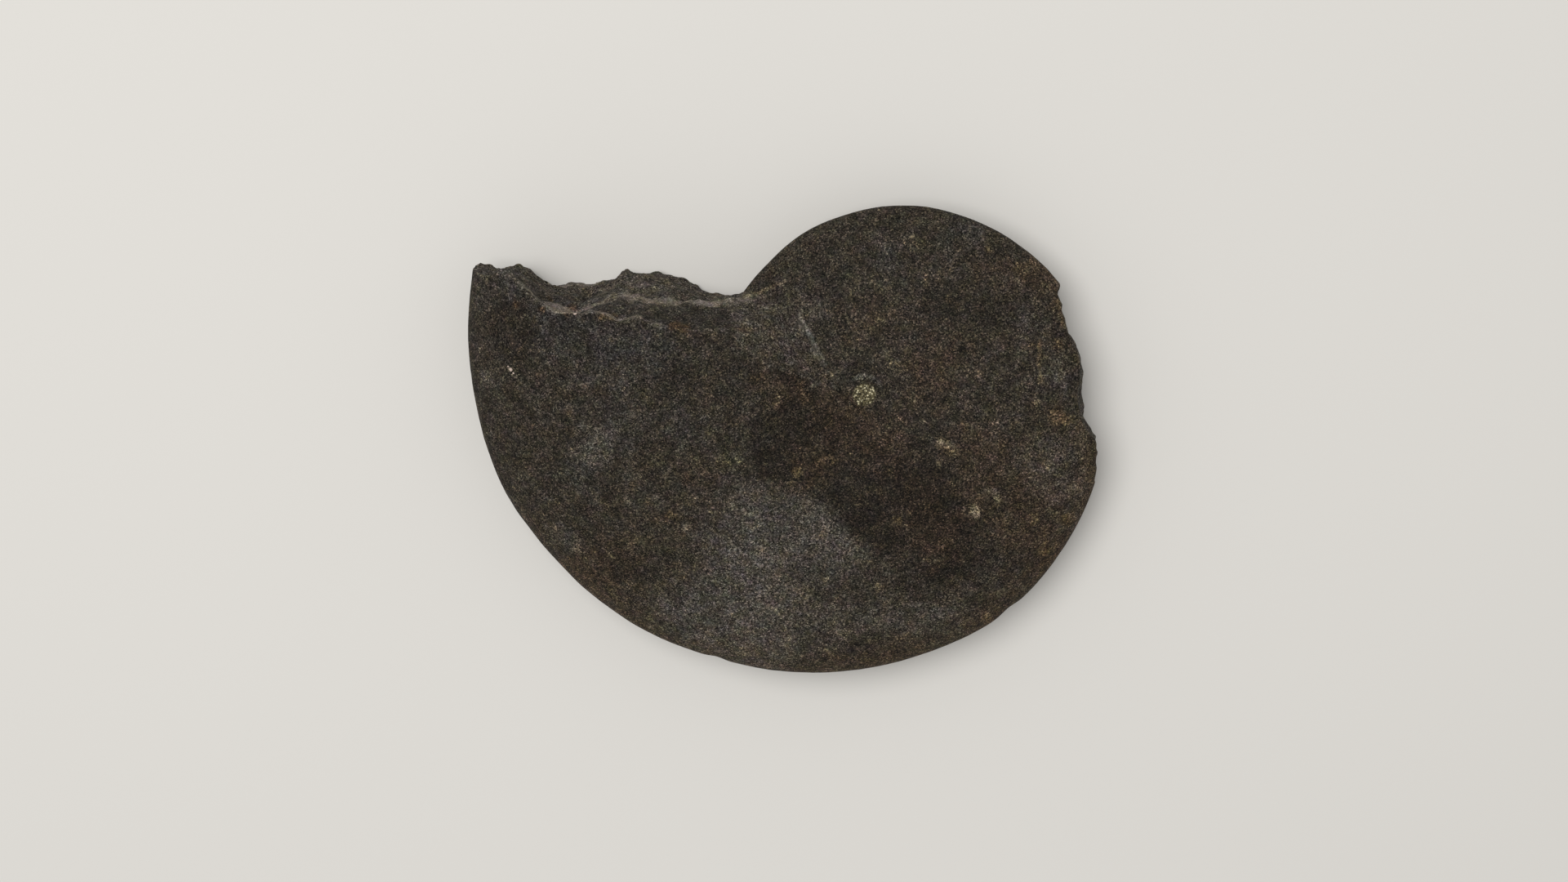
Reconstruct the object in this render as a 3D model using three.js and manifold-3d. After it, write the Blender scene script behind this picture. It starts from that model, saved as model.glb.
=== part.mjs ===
// Fossil ammonite: the stone fill of a smooth, tightly coiled shell, broken across its last whorl.
// Millimetres, +Z up. It lies on its flank: the coil's axis is the Z axis and meets the worn
// resting flat at the origin. The break faces +Y, and the oldest whorl shows towards +X and +Y.
// Turn angles run clockwise seen from above, the way the shell grew, with 0 towards +X.
import * as THREE from "three";
import { mergeVertices } from "three/addons/utils/BufferGeometryUtils.js";
import Module from "manifold-3d";

// The coil: an equiangular spiral
const RIM_RADIUS = 41.44; // from the axis to the rim at turn angle 0
const WIDENING = 0.1632; // growth of the rim's radius per radian, 2.8 times in a turn
const SWELLS = [
  // the rim's own bumps and hollows: turn angle and reach in degrees, rise in mm
  { at: -128, reach: 12, rise: -0.4 },
  { at: -76, reach: 15, rise: 0.3 },
  { at: 60, reach: 14, rise: 0.6 },
  { at: 116, reach: 8, rise: -0.3 },
  { at: 144, reach: 26, rise: 0.5 },
  { at: 165, reach: 10, rise: 0.7 },
  { at: 198, reach: 10, rise: -0.4 },
];
const SQUASH = { direction: 17, keep: 0.96 }; // the coil was pressed narrower across this direction

// The whorl's section
const FLANK_SHARE = 0.36; // share of the rim's radius over which the flank is flat
const HALF_THICKNESS = 0.19; // of the flank, as a share of the rim's radius
const ROUNDING = 2.3; // how late the flank turns down to the rim
const RIM_BLUNTNESS = 0.55; // how blunt the rim is, from 1 sharp to 0.5 round
// Towards the axis each flank dips into the closed umbilicus: half thickness there, the radius of
// its floor and the radius at which the flank has its full height. Rock fills the lower one.
const UPPER_UMBILICUS = { half: 8, floor: 0, reach: 22 };
const LOWER_UMBILICUS = { half: 11.3, floor: 6, reach: 24 };
const MID_PLANE = 11; // height of the coil's mid-plane above the resting flat

// Stretches of the coil, in degrees of turn: each shares a short length with the next
const SECTION_STEP = 5;
const OLD_WHORLS = { from: -200, to: 100 };
const LAST_WHORL = { from: 95, to: 165 };
const BROKEN_WHORL = { from: 160, to: 260 };
const FLANK_STATIONS = [0, 0.06, 0.12, 0.19, 0.27, 0.36, 0.46, 0.56, 0.66, 0.75, 0.83, 0.9, 0.95, 0.985];

// The break across the last whorl: its outline [x, y] at three heights from the mid-plane
const BREAK_OUTLINES = [
  {
    height: 12.5,
    edge: [
      [-84, 21],
      [-60.7, 20.9],
      [-57.6, 18.6],
      [-52.8, 14.6],
      [-46, 14.7],
      [-38.5, 14.2],
      [-31.3, 12.4],
      [2, 12.4],
    ],
  },
  {
    height: 5,
    edge: [
      [-84, 21],
      [-64, 20.6],
      [-58.9, 17.9],
      [-55.8, 15.1],
      [-47.1, 14.2],
      [-43.4, 16.3],
      [-34.6, 15.5],
      [-24.2, 15.4],
      [-19.5, 16],
      [-11.2, 14.1],
      [2, 9],
    ],
  },
  {
    height: -12,
    edge: [
      [-84, 18],
      [-70.7, 20],
      [-67.1, 21],
      [-64.1, 19],
      [-60.5, 20],
      [-56.5, 16.2],
      [-48.9, 16.4],
      [-43.5, 19.4],
      [-36.8, 18.6],
      [-31, 17],
      [-29.6, 14.4],
      [-22.6, 14.2],
      [-21.1, 15.2],
      [-11.2, 14.1],
      [2, 9],
    ],
  },
];
const BREAK_GRID = { x: 2, z: 2.6 }; // spacing of the break's facets
const CUT_HEIGHT = 20; // the cuts' reach above and below the mid-plane
const BREAK_DEPTH = 90; // and the break's towards +Y
// The broken face's lumps: three crossing waves, in radians per millimetre, and the height of each
const LUMP_WAVES = [
  { x: 0.55, z: 1.25 },
  { x: 1.25, z: 0.15 },
  { x: 0.5, z: 1.9 },
];
const LUMP_HEIGHT = 0.2;

// The slope that the last whorl's broken flank makes down to the old whorl beside the umbilicus
const SLOPE_CORNERS = [
  [-20, 12.8, 12],
  [-6.2, 5, 7],
  [-13, 15.6, 4.9],
];
const SLOPE_SIZE = 60; // of the block outside it

// The worn rim at the +X side: what is left of it in the mid-plane, and the bevels of the wear
const WORN_EDGE = [
  [21, 30.5],
  [25.9, 25.3],
  [31.2, 20.9],
  [33.3, 18.3],
  [33.1, 16.4],
  [34.2, 11.4],
  [37, 5.3],
  [37.6, -1.5],
  [38.4, -5],
  [40.4, -8.7],
  [40.2, -12.7],
  [39.8, -17.5],
];
const WORN_LEAN = 8; // degrees from upright
const WORN_REACH = 60; // of the cut towards +X and +Y

// The umbilicus: a small round pit with a mineral plug in it, measured down from the pit's rim
const PIT = { radius: 2.5, depth: 1, sides: 24 };
const PLUG = { radius: 1.9, top: 0.25, shoulderRadius: 1.15, shoulder: 0.35 };

const FLAT_SIZE = 160; // of the block under the resting flat, wider than the coil
const MERGE_DISTANCE = 1e-4; // corners nearer than this are one

const wasm = await Module();
wasm.setup();

const radians = THREE.MathUtils.degToRad;

// A closed body for joining and cutting, from a geometry whose faces point out.
function solid(geometry) {
  geometry.deleteAttribute("normal");
  geometry.deleteAttribute("uv");
  const merged = mergeVertices(geometry, MERGE_DISTANCE);
  return new wasm.Manifold(
    new wasm.Mesh({
      numProp: 3,
      vertProperties: merged.attributes.position.array,
      triVerts: new Uint32Array(merged.index.array),
    }),
  );
}

function geometryFrom(points, faces) {
  const geometry = new THREE.BufferGeometry();
  geometry.setAttribute("position", new THREE.Float32BufferAttribute(points.flat(), 3));
  geometry.setIndex(faces.flat());
  return geometry;
}

// The rim's radius at a turn angle in degrees.
function rimRadius(turn) {
  const spiral = RIM_RADIUS * Math.exp(WIDENING * radians(turn));
  return SWELLS.reduce(
    (radius, { at, reach, rise }) => radius + rise * Math.exp(-(((turn - at) / reach) ** 2)),
    spiral,
  );
}

// Half the shell's thickness on one flank, at a share of the rim's radius.
function halfThickness(share, rim, { half, floor, reach }) {
  const past = Math.max(0, (share - FLANK_SHARE) / (1 - FLANK_SHARE));
  const rounding = Math.max(0, 1 - past ** ROUNDING) ** RIM_BLUNTNESS;
  const flank = THREE.MathUtils.smoothstep(share * rim, floor, reach);
  return rounding * THREE.MathUtils.lerp(half, HALF_THICKNESS * rim, flank);
}

// A point of the coil's surface, on the upper flank (side 1) or the lower one (side -1).
function coilPoint(turn, share, side) {
  const rim = rimRadius(turn);
  const squash = radians(SQUASH.direction);
  const bearing = -radians(turn) - squash;
  const along = share * rim * Math.cos(bearing);
  const across = share * rim * Math.sin(bearing) * SQUASH.keep;
  const umbilicus = side > 0 ? UPPER_UMBILICUS : LOWER_UMBILICUS;
  return [
    along * Math.cos(squash) - across * Math.sin(squash),
    along * Math.sin(squash) + across * Math.cos(squash),
    side * halfThickness(share, rim, umbilicus),
  ];
}

// A stretch of the coil as a closed fan of sections about the axis. A section runs from the axis
// out along the upper flank, round the rim and back along the lower flank.
function coilStretch({ from, to }) {
  const shares = FLANK_STATIONS.slice(1);
  const upper = shares.map((share) => [share, 1]);
  const lower = shares.toReversed().map((share) => [share, -1]);
  const ring = [...upper, [1, 0], ...lower];
  const sections = Math.round((to - from) / SECTION_STEP);
  const size = ring.length;
  const points = [
    [0, 0, UPPER_UMBILICUS.half],
    [0, 0, -LOWER_UMBILICUS.half],
  ];
  const onAxis = points.length;
  const faces = [];
  for (let s = 0; s <= sections; s++) {
    const turn = from + ((to - from) * s) / sections;
    ring.forEach(([share, side]) => points.push(coilPoint(turn, share, side)));
  }
  const at = (s, k) => onAxis + s * size + k;
  for (let s = 0; s < sections; s++) {
    faces.push([0, at(s + 1, 0), at(s, 0)]);
    for (let k = 0; k + 1 < size; k++) {
      faces.push([at(s, k), at(s + 1, k), at(s + 1, k + 1)]);
      faces.push([at(s, k), at(s + 1, k + 1), at(s, k + 1)]);
    }
    faces.push([1, at(s, size - 1), at(s + 1, size - 1)]);
  }
  // The two flat ends: a ladder between the flanks, closed at the axis and at the rim.
  const end = (s) => {
    const rungs = [[0, 1]];
    for (let k = 0; 2 * k + 1 < size; k++) {
      rungs.push([at(s, k), at(s, size - 1 - k)]);
    }
    const made = [];
    for (let r = 0; r + 1 < rungs.length; r++) {
      const [a, b] = rungs[r];
      const [c, d] = rungs[r + 1];
      made.push([a, c, d], [a, d, b]);
    }
    const [a, b] = rungs[rungs.length - 1];
    made.push([a, at(s, (size - 1) / 2), b]);
    return made;
  };
  faces.push(...end(0));
  faces.push(...end(sections).map(([a, b, c]) => [a, c, b]));
  return solid(geometryFrom(points, faces));
}

// The y of a broken outline at x.
function outlineY(edge, x) {
  const reached = edge.findIndex(([px]) => px >= x);
  const next = Math.max(1, reached);
  const [ax, ay] = edge[next - 1];
  const [bx, by] = edge[next];
  return ay + ((by - ay) * (x - ax)) / (bx - ax);
}

// The broken face's y at x and a height from the mid-plane, with its lumps.
function breakY(x, z) {
  const [near, ridge, far] = BREAK_OUTLINES;
  const [high, low] = z > ridge.height ? [near, ridge] : [ridge, far];
  const blend = THREE.MathUtils.clamp((z - low.height) / (high.height - low.height), 0, 1);
  const plain = THREE.MathUtils.lerp(outlineY(low.edge, x), outlineY(high.edge, x), blend);
  return LUMP_WAVES.reduce((y, wave) => y + LUMP_HEIGHT * Math.sin(wave.x * x + wave.z * z), plain);
}

// What the break took away: a block whose -Y face is the broken face.
function brokenAway() {
  const [left] = BREAK_OUTLINES[0].edge[0];
  const [right] = BREAK_OUTLINES[0].edge.at(-1);
  const columns = Math.round((right - left) / BREAK_GRID.x);
  const rows = Math.round((2 * CUT_HEIGHT) / BREAK_GRID.z);
  const points = [];
  const faces = [];
  const at = (c, r, back) => 2 * (r * (columns + 1) + c) + back;
  const quad = (a, b, c, d) => faces.push([a, b, c], [a, c, d]);
  for (let r = 0; r <= rows; r++) {
    const z = -CUT_HEIGHT + (2 * CUT_HEIGHT * r) / rows;
    for (let c = 0; c <= columns; c++) {
      const x = left + ((right - left) * c) / columns;
      points.push([x, breakY(x, z), z], [x, BREAK_DEPTH, z]);
    }
  }
  for (let r = 0; r < rows; r++) {
    for (let c = 0; c < columns; c++) {
      quad(at(c, r, 0), at(c + 1, r, 0), at(c + 1, r + 1, 0), at(c, r + 1, 0));
      quad(at(c, r, 1), at(c, r + 1, 1), at(c + 1, r + 1, 1), at(c + 1, r, 1));
    }
    quad(at(0, r, 0), at(0, r + 1, 0), at(0, r + 1, 1), at(0, r, 1));
    quad(at(columns, r, 0), at(columns, r, 1), at(columns, r + 1, 1), at(columns, r + 1, 0));
  }
  for (let c = 0; c < columns; c++) {
    quad(at(c, 0, 0), at(c, 0, 1), at(c + 1, 0, 1), at(c + 1, 0, 0));
    quad(at(c, rows, 0), at(c + 1, rows, 0), at(c + 1, rows, 1), at(c, rows, 1));
  }
  return solid(geometryFrom(points, faces));
}

// The block outside the slope beside the umbilicus, on the upper flank (side 1) or the lower (-1).
function outsideSlope(side) {
  const [a, b, c] = SLOPE_CORNERS.map(([x, y, z]) => new THREE.Vector3(x, y, side * z));
  const normal = b.clone().sub(a).cross(c.clone().sub(a)).multiplyScalar(side).normalize();
  const block = new THREE.BoxGeometry(SLOPE_SIZE, SLOPE_SIZE, SLOPE_SIZE);
  block.translate(0, 0, SLOPE_SIZE / 2);
  block.applyQuaternion(new THREE.Quaternion().setFromUnitVectors(new THREE.Vector3(0, 0, 1), normal));
  block.translate(...a);
  return solid(block);
}

// What is worn off the +X rim above the mid-plane (side 1) or below it (side -1): a prism outside
// the worn edge that leans inwards.
function wornAway(side) {
  const outline = new THREE.Shape(WORN_EDGE.map(([x, y]) => new THREE.Vector2(x, y)));
  outline.lineTo(WORN_REACH, WORN_EDGE.at(-1)[1]);
  outline.lineTo(WORN_REACH, WORN_REACH);
  outline.lineTo(WORN_EDGE[0][0], WORN_REACH);
  const prism = new THREE.ExtrudeGeometry(outline, { depth: CUT_HEIGHT, bevelEnabled: false });
  if (side < 0) prism.translate(0, 0, -CUT_HEIGHT);
  const slant = -side * Math.tan(radians(WORN_LEAN));
  prism.applyMatrix4(new THREE.Matrix4().makeShear(0, 0, 0, 0, slant, 0));
  return solid(prism);
}

// The ring-shaped pit round the mineral plug.
function umbilicalPit() {
  const profile = [
    [0, PIT.depth],
    [0, -PLUG.top],
    [PLUG.shoulderRadius, -PLUG.shoulder],
    [PLUG.radius, -PIT.depth],
    [PIT.radius, PIT.depth],
    [0, PIT.depth],
  ].map(([x, y]) => new THREE.Vector2(x, y));
  const pit = new THREE.LatheGeometry(profile, PIT.sides);
  pit.rotateX(Math.PI / 2);
  pit.translate(0, 0, UPPER_UMBILICUS.half);
  return solid(pit);
}

// All rock below the resting flat.
function belowFlat() {
  const block = new THREE.BoxGeometry(FLAT_SIZE, FLAT_SIZE, MID_PLANE);
  block.translate(0, 0, -MID_PLANE - MID_PLANE / 2);
  return solid(block);
}

function ammonite() {
  const brokenWhorl = coilStretch(BROKEN_WHORL)
    .subtract(brokenAway())
    .subtract(outsideSlope(1))
    .subtract(outsideSlope(-1));
  const whole = coilStretch(OLD_WHORLS)
    .add(coilStretch(LAST_WHORL))
    .add(brokenWhorl)
    .subtract(wornAway(1))
    .subtract(wornAway(-1))
    .subtract(umbilicalPit())
    .subtract(belowFlat());
  const { vertProperties, triVerts } = whole.getMesh();
  const geometry = new THREE.BufferGeometry();
  geometry.setAttribute("position", new THREE.BufferAttribute(vertProperties, 3));
  geometry.setIndex(new THREE.BufferAttribute(triVerts, 1));
  geometry.translate(0, 0, MID_PLANE);
  const stone = new THREE.MeshStandardMaterial({ color: 0x4a4338, roughness: 0.8, metalness: 0 });
  const mesh = new THREE.Mesh(geometry, stone);
  mesh.name = "ammonite";
  return mesh;
}

const fossil = new THREE.Group();
fossil.add(ammonite());

export default fossil;
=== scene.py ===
"""A fossil ammonite on a pale table top, under soft light: metres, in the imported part's frame."""

import itertools
import math

import bpy
import numpy as np
from mathutils import Matrix, Vector, noise


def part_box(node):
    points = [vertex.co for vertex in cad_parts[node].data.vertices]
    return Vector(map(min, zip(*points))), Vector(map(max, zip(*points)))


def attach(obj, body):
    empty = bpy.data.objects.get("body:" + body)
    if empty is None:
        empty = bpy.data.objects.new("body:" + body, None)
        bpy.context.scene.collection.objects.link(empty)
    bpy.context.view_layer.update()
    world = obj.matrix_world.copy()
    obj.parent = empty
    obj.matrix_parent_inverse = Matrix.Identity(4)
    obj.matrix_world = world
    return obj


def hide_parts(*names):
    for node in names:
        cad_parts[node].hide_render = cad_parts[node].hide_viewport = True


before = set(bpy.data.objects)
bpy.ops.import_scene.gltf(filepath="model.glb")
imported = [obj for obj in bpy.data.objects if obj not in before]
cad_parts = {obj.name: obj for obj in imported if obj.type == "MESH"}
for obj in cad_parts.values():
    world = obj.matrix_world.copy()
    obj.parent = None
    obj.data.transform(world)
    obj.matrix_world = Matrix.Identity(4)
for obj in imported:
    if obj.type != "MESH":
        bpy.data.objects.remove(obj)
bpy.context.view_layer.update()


# ---- The camera ------------------------------------------------------------------------------
# It stands over the fossil, which lies on its flank, and leans a little towards the broken end of
# the last whorl, so that it looks into the break.
MM = 0.001  # the fossil is measured in millimetres, with heights counted from the coil's mid-plane
MID_PLANE = 11.0  # above the table top
LENS_MM = 50.0
SENSOR_MM = 36.0
NEAREST_SEEN = 10.0
CAMERA_DISTANCE = 379.5  # from the coil's mid-plane
CAMERA_LEAN = math.radians(13.0)
CAMERA_BEARING = math.radians(74.0)  # the side it leans to, counted from +X
CAMERA_SHIFT = (14.18, 9.5)  # of the coil's axis from the middle of the view, right and up

turn_to_bearing = Matrix.Rotation(CAMERA_BEARING, 3, "Z")
lean = Matrix.Rotation(-CAMERA_LEAN, 3, "Y")
view_to_world = (turn_to_bearing @ lean @ turn_to_bearing.transposed()).transposed()
stand = view_to_world @ Vector((-CAMERA_SHIFT[0], -CAMERA_SHIFT[1], CAMERA_DISTANCE))
stand.z += MID_PLANE

camera_data = bpy.data.cameras.new("camera")
camera_data.lens = LENS_MM
camera_data.sensor_width = SENSOR_MM
camera_data.clip_start = NEAREST_SEEN * MM
camera = bpy.data.objects.new("camera", camera_data)
camera.matrix_world = Matrix.Translation(stand * MM) @ view_to_world.to_4x4()
bpy.context.scene.collection.objects.link(camera)
bpy.context.scene.camera = camera


# ---- The table top ---------------------------------------------------------------------------
# A plain sheet of pale uncoated paper lies under the fossil. It is matt all over, so that nothing
# shows on it but the fossil's soft shadow.
def linear(colour):
    """The linear colour, with full alpha, of an sRGB colour such as '#c8c4be'."""
    values = [int(colour[i : i + 2], 16) / 255 for i in (1, 3, 5)]
    return (*(v / 12.92 if v <= 0.04045 else ((v + 0.055) / 1.055) ** 2.4 for v in values), 1)


def add(tree, kind, inputs, **settings):
    """Adds a node with its settings, and links or fills its inputs."""
    made = tree.nodes.new(kind)
    for name, value in settings.items():
        setattr(made, name, value)
    for name, value in inputs.items():
        if isinstance(value, bpy.types.NodeSocket):
            tree.links.new(value, made.inputs[name])
        else:
            made.inputs[name].default_value = value
    return made


def material_tree(name):
    """A new material and its node tree, with no node in it."""
    material = bpy.data.materials.new(name)
    material.use_nodes = True
    tree = material.node_tree
    tree.nodes.clear()
    return material, tree


PAPER_COLOUR = linear("#dcd9d3")
PAPER_ROUGHNESS = 0.9
TABLE_SIZE = 3.0  # in metres

paper, tree = material_tree("matt_paper")
sheet = add(
    tree, "ShaderNodeBsdfPrincipled", {"Base Color": PAPER_COLOUR, "Roughness": PAPER_ROUGHNESS}
)
add(tree, "ShaderNodeOutputMaterial", {"Surface": sheet.outputs[0]})

half = TABLE_SIZE / 2
table_corners = [(-half, -half, 0), (half, -half, 0), (half, half, 0), (-half, half, 0)]
table_mesh = bpy.data.meshes.new("table_top")
table_mesh.from_pydata(table_corners, [], [(0, 1, 2, 3)])
table_mesh.materials.append(paper)
table_top = bpy.data.objects.new("table_top", table_mesh)
bpy.context.scene.collection.objects.link(table_top)


# ---- The light -------------------------------------------------------------------------------
# One broad round lamp hangs over the fossil, a little to the left and the back, and an even white
# surround fills the shadows.
LAMP_AT = (-0.22, 0.3, 1.0)  # in metres
LAMP_WIDTH = 0.7
LAMP_WATTS = 7.5
SURROUND_COLOUR = (1, 1, 1, 1)
SURROUND_STRENGTH = 0.45

lamp_data = bpy.data.lights.new("lamp", "AREA")
lamp_data.shape = "DISK"
lamp_data.size = LAMP_WIDTH
lamp_data.energy = LAMP_WATTS
lamp = bpy.data.objects.new("lamp", lamp_data)
lamp.location = LAMP_AT
lamp.rotation_euler = Vector(LAMP_AT).to_track_quat("Z", "Y").to_euler()
bpy.context.scene.collection.objects.link(lamp)

world = bpy.data.worlds.new("surround")
world.use_nodes = True
surround = world.node_tree.nodes["Background"].inputs
surround["Color"].default_value = SURROUND_COLOUR
surround["Strength"].default_value = SURROUND_STRENGTH
bpy.context.scene.world = world
bpy.context.scene.view_settings.view_transform = "Standard"


# ---- The fossil: the coil --------------------------------------------------------------------
# The stone fill of a smooth, tightly coiled shell. Its rim is an equiangular spiral, a little
# squashed by the weight of the sediment, and every whorl hides the one before it.
RIM_RADIUS = 41.44  # at turn angle 0, towards +X; turn angles run clockwise seen from above
WIDENING = 0.1632  # growth of the rim's radius per radian
RIM_SWELLS = (  # turn angle and reach in degrees, rise in mm
    (-128, 12, -0.4),
    (-76, 15, 0.3),
    (60, 14, 0.6),
    (58, 2.2, -0.35),
    (116, 8, -0.3),
    (117, 1.6, -0.3),
    (144, 26, 0.5),
    (165, 10, 0.7),
    (198, 10, -0.4),
)
SQUASH_BEARING = math.radians(17)
SQUASH = 0.96  # what is left of the coil's width across that bearing
FLANK_SHARE = 0.36  # share of the rim's radius over which the flank is flat
HALF_THICKNESS = 0.19  # of the flat flank, as a share of the rim's radius
ROUNDING = 2.3  # how late the flank turns down towards the rim
RIM_BLUNTNESS = 0.55  # how blunt the rim is, from 1 sharp to 0.5 round
UPPER_UMBILICUS = (8.0, 0.0, 22.0)  # half thickness on the axis, radii where the dip starts and ends
LOWER_UMBILICUS = (11.3, 6.0, 24.0)
FULL_TURN = 360.0
FIRST_TURN = -100.0  # the outermost whorl is counted from here, one full turn on
DEEP = 6.0  # distances are counted no deeper than this
LEAST_SLOPE = 0.001  # keeps a distance from being divided by nothing


def smoothstep(value, start, end):
    """Rises smoothly from 0 at the start to 1 at the end."""
    t = np.clip((value - start) / (end - start), 0.0, 1.0)
    return t * t * (3.0 - 2.0 * t)


def coil_place(x, y):
    """The distance from the axis, and the turn angle on the outermost whorl, in degrees."""
    along = x * math.cos(SQUASH_BEARING) + y * math.sin(SQUASH_BEARING)
    across = (y * math.cos(SQUASH_BEARING) - x * math.sin(SQUASH_BEARING)) / SQUASH
    turn = -np.degrees(np.arctan2(across, along) + SQUASH_BEARING)
    return np.hypot(along, across), (turn - FIRST_TURN) % FULL_TURN + FIRST_TURN


def rim_radius(turn):
    """How far the rim lies from the axis at a turn angle, with its swells."""
    radius = RIM_RADIUS * np.exp(WIDENING * np.radians(turn))
    for at, reach, rise in RIM_SWELLS:
        radius = radius + rise * np.exp(-(((turn - at) / reach) ** 2))
    return radius


def flank_height(radius, rim, umbilicus):
    """The flat flank's height from the mid-plane, with its dip towards the axis."""
    on_axis, start, end = umbilicus
    full = smoothstep(radius, start, end)
    return on_axis * (1 - full) + HALF_THICKNESS * rim * full


def outside_whorl(radius, z, turn):
    """How far in mm a point lies outside the whorl at that turn, negative in the stone."""
    rim = rim_radius(turn)
    upper = flank_height(radius, rim, UPPER_UMBILICUS)
    lower = flank_height(radius, rim, LOWER_UMBILICUS)
    thickness = np.where(z > 0, upper, lower)
    past = np.clip((radius / rim - FLANK_SHARE) / (1 - FLANK_SHARE), 0, None)
    rise = np.abs(z) / thickness
    level = rise ** (1 / RIM_BLUNTNESS) + past**ROUNDING - 1
    steep_z = rise ** (1 / RIM_BLUNTNESS - 1) / (RIM_BLUNTNESS * thickness)
    steep_r = ROUNDING * past ** (ROUNDING - 1) / ((1 - FLANK_SHARE) * rim)
    return np.clip(level / np.sqrt(steep_z**2 + steep_r**2 + LEAST_SLOPE**2), -DEEP, 2 * DEEP)


# ---- The fossil: the break -------------------------------------------------------------------
# The last whorl snapped off across its chamber, which left a rough face with a chipped facet along
# its upper edge, and a slope down to the older whorl beside the umbilicus.
BREAK_EDGES = {  # height from the mid-plane: the face's outline there, [x, y]
    12.5: [
        (-84, 20.5), (-66.9, 20.5), (-60.7, 20.9), (-58.9, 20.0), (-57.9, 18.7), (-54.6, 16.2),
        (-52.8, 14.5), (-48.8, 14.2), (-46.0, 14.7), (-41.7, 14.0), (-38.5, 14.3), (-35.4, 13.1),
        (-31.3, 12.2), (-27.1, 12.5), (-23.6, 12.9), (-18.6, 12.2), (2, 12.4),
    ],
    5.0: [
        (-84, 20.5), (-64, 20.0), (-60.7, 20.5), (-57.5, 18.0), (-55.6, 16.0), (-53.6, 14.8),
        (-50.4, 14.2), (-47.1, 14.3), (-45.0, 15.4), (-43.4, 16.3), (-39.5, 16.2), (-34.6, 15.5),
        (-24.2, 15.4), (-22.6, 15.8), (-19.5, 16.0), (-17.0, 15.3), (-13.0, 15.0), (-11.2, 14.1),
        (2, 9),
    ],
    -12.0: [
        (-84, 18.0), (-70.7, 20.1), (-68.8, 21.0), (-67.1, 21.3), (-66.0, 20.8), (-64.1, 19.6),
        (-62.0, 19.6), (-60.5, 19.4), (-59.4, 18.8), (-57.9, 17.4), (-56.5, 16.3), (-53.3, 16.3),
        (-50.4, 16.0), (-48.9, 16.2), (-47.4, 16.9), (-44.9, 17.1), (-43.7, 18.7), (-42.8, 19.3),
        (-40.9, 18.6), (-36.8, 18.6), (-33.1, 17.1), (-30.5, 16.5), (-29.8, 15.6), (-27.9, 14.2),
        (-25.3, 13.9), (-22.6, 14.3), (-21.1, 15.2), (-11.2, 14.1), (2, 9),
    ],
}  # fmt: skip
BREAK_FROM_TURN = 165.0
BREAK_SPAN = (-80, 4)  # in x, of its relief table
HEIGHT_SPAN = (-16, 18)  # of every relief table that goes up and down
CREST_HEIGHT = 5.0  # the crest between the chipped facet and the rest of the face
CREST_REACH = 7.0  # up and down, over which its wandering dies away
CREST_WANDER = 2.4  # how far it wanders
CREST_WAVE = 6  # length of the waves in which it does
FACE_LUMP = 0.35
FACE_LUMP_SIZE = (7, 5)  # along the face and up it
FACE_FRACTAL = (0.9, 2.2, 5)  # how fast finer lumps fade, how much finer each step is, steps
CHIP_DEPTHS = ((-8, 1.5), (-4, 2.0), (2, 2.0), (6, 1.5), (12, 0.7))  # at a height: least at the top
CHIP_SIZE = (4.2, 3.1)  # along the face and up it
SMALL_CHIP_SIZE = (1.6, 1.3)
SMALL_CHIP_SHARE = 0.4  # how deep they are beside the large ones
MEAN_CHIP = 0.55  # taken off, so that the chips leave the face where it is on the whole
SLOPE_CORNERS = ((-20, 12.8, 12), (-6.2, 5, 7), (-13, 15.6, 4.9))
SLOPE_SPANS = ((-40, 10), (-10, 35))  # in x and y, of its relief table
SLOPE_LUMP = 0.15
SLOPE_LUMP_SIZE = 8
SLOPE_FRACTAL = (0.9, 2.2, 4)
SLOPE_CHIP = 0.5
SLOPE_CHIP_SIZE = (5.3, 4.1)
MEAN_SLOPE_CHIP = 0.3
SLANT = 0.9  # the straight way out of a slanting face, as a share of the way along an axis
EDGE_WEAR = 0.35  # how far broken edges are rounded over
TABLE_STEP = 0.4  # spacing of the relief tables below
LAST_CELL = 1.001  # keeps a place inside a table's last cell


def interpolate(at, pairs):
    """The value at a place, in between those of a list of places and values."""
    return np.interp(at, *zip(*pairs))


def relief_table(a_span, b_span, height_of):
    """Works out a surface's height on a grid of places, and returns a function that reads it."""
    places = [np.arange(low, high + TABLE_STEP, TABLE_STEP) for low, high in (a_span, b_span)]
    heights = np.array([[height_of(a, b) for b in places[1]] for a in places[0]])

    def read(a, b):
        fa = np.clip((a - a_span[0]) / TABLE_STEP, 0, heights.shape[0] - LAST_CELL)
        fb = np.clip((b - b_span[0]) / TABLE_STEP, 0, heights.shape[1] - LAST_CELL)
        ia, ib = fa.astype(int), fb.astype(int)
        ta, tb = fa - ia, fb - ib
        low = heights[ia, ib] * (1 - tb) + heights[ia, ib + 1] * tb
        high = heights[ia + 1, ib] * (1 - tb) + heights[ia + 1, ib + 1] * tb
        return low * (1 - ta) + high * ta

    return read


# The bare numbers in the noises' places only pick a slice of the noise, so that no two are alike.
def chipped(place):
    """Shallow bowls that meet in sharp ridges, as chipped stone has: 0 in the middle of a bowl."""
    return noise.voronoi(place)[0][0] ** 2


def crest_rise(x):
    """How far the crest wanders up or down from its height."""
    return CREST_WANDER * noise.noise(Vector((x / CREST_WAVE, 0.4, 6.6)))


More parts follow.
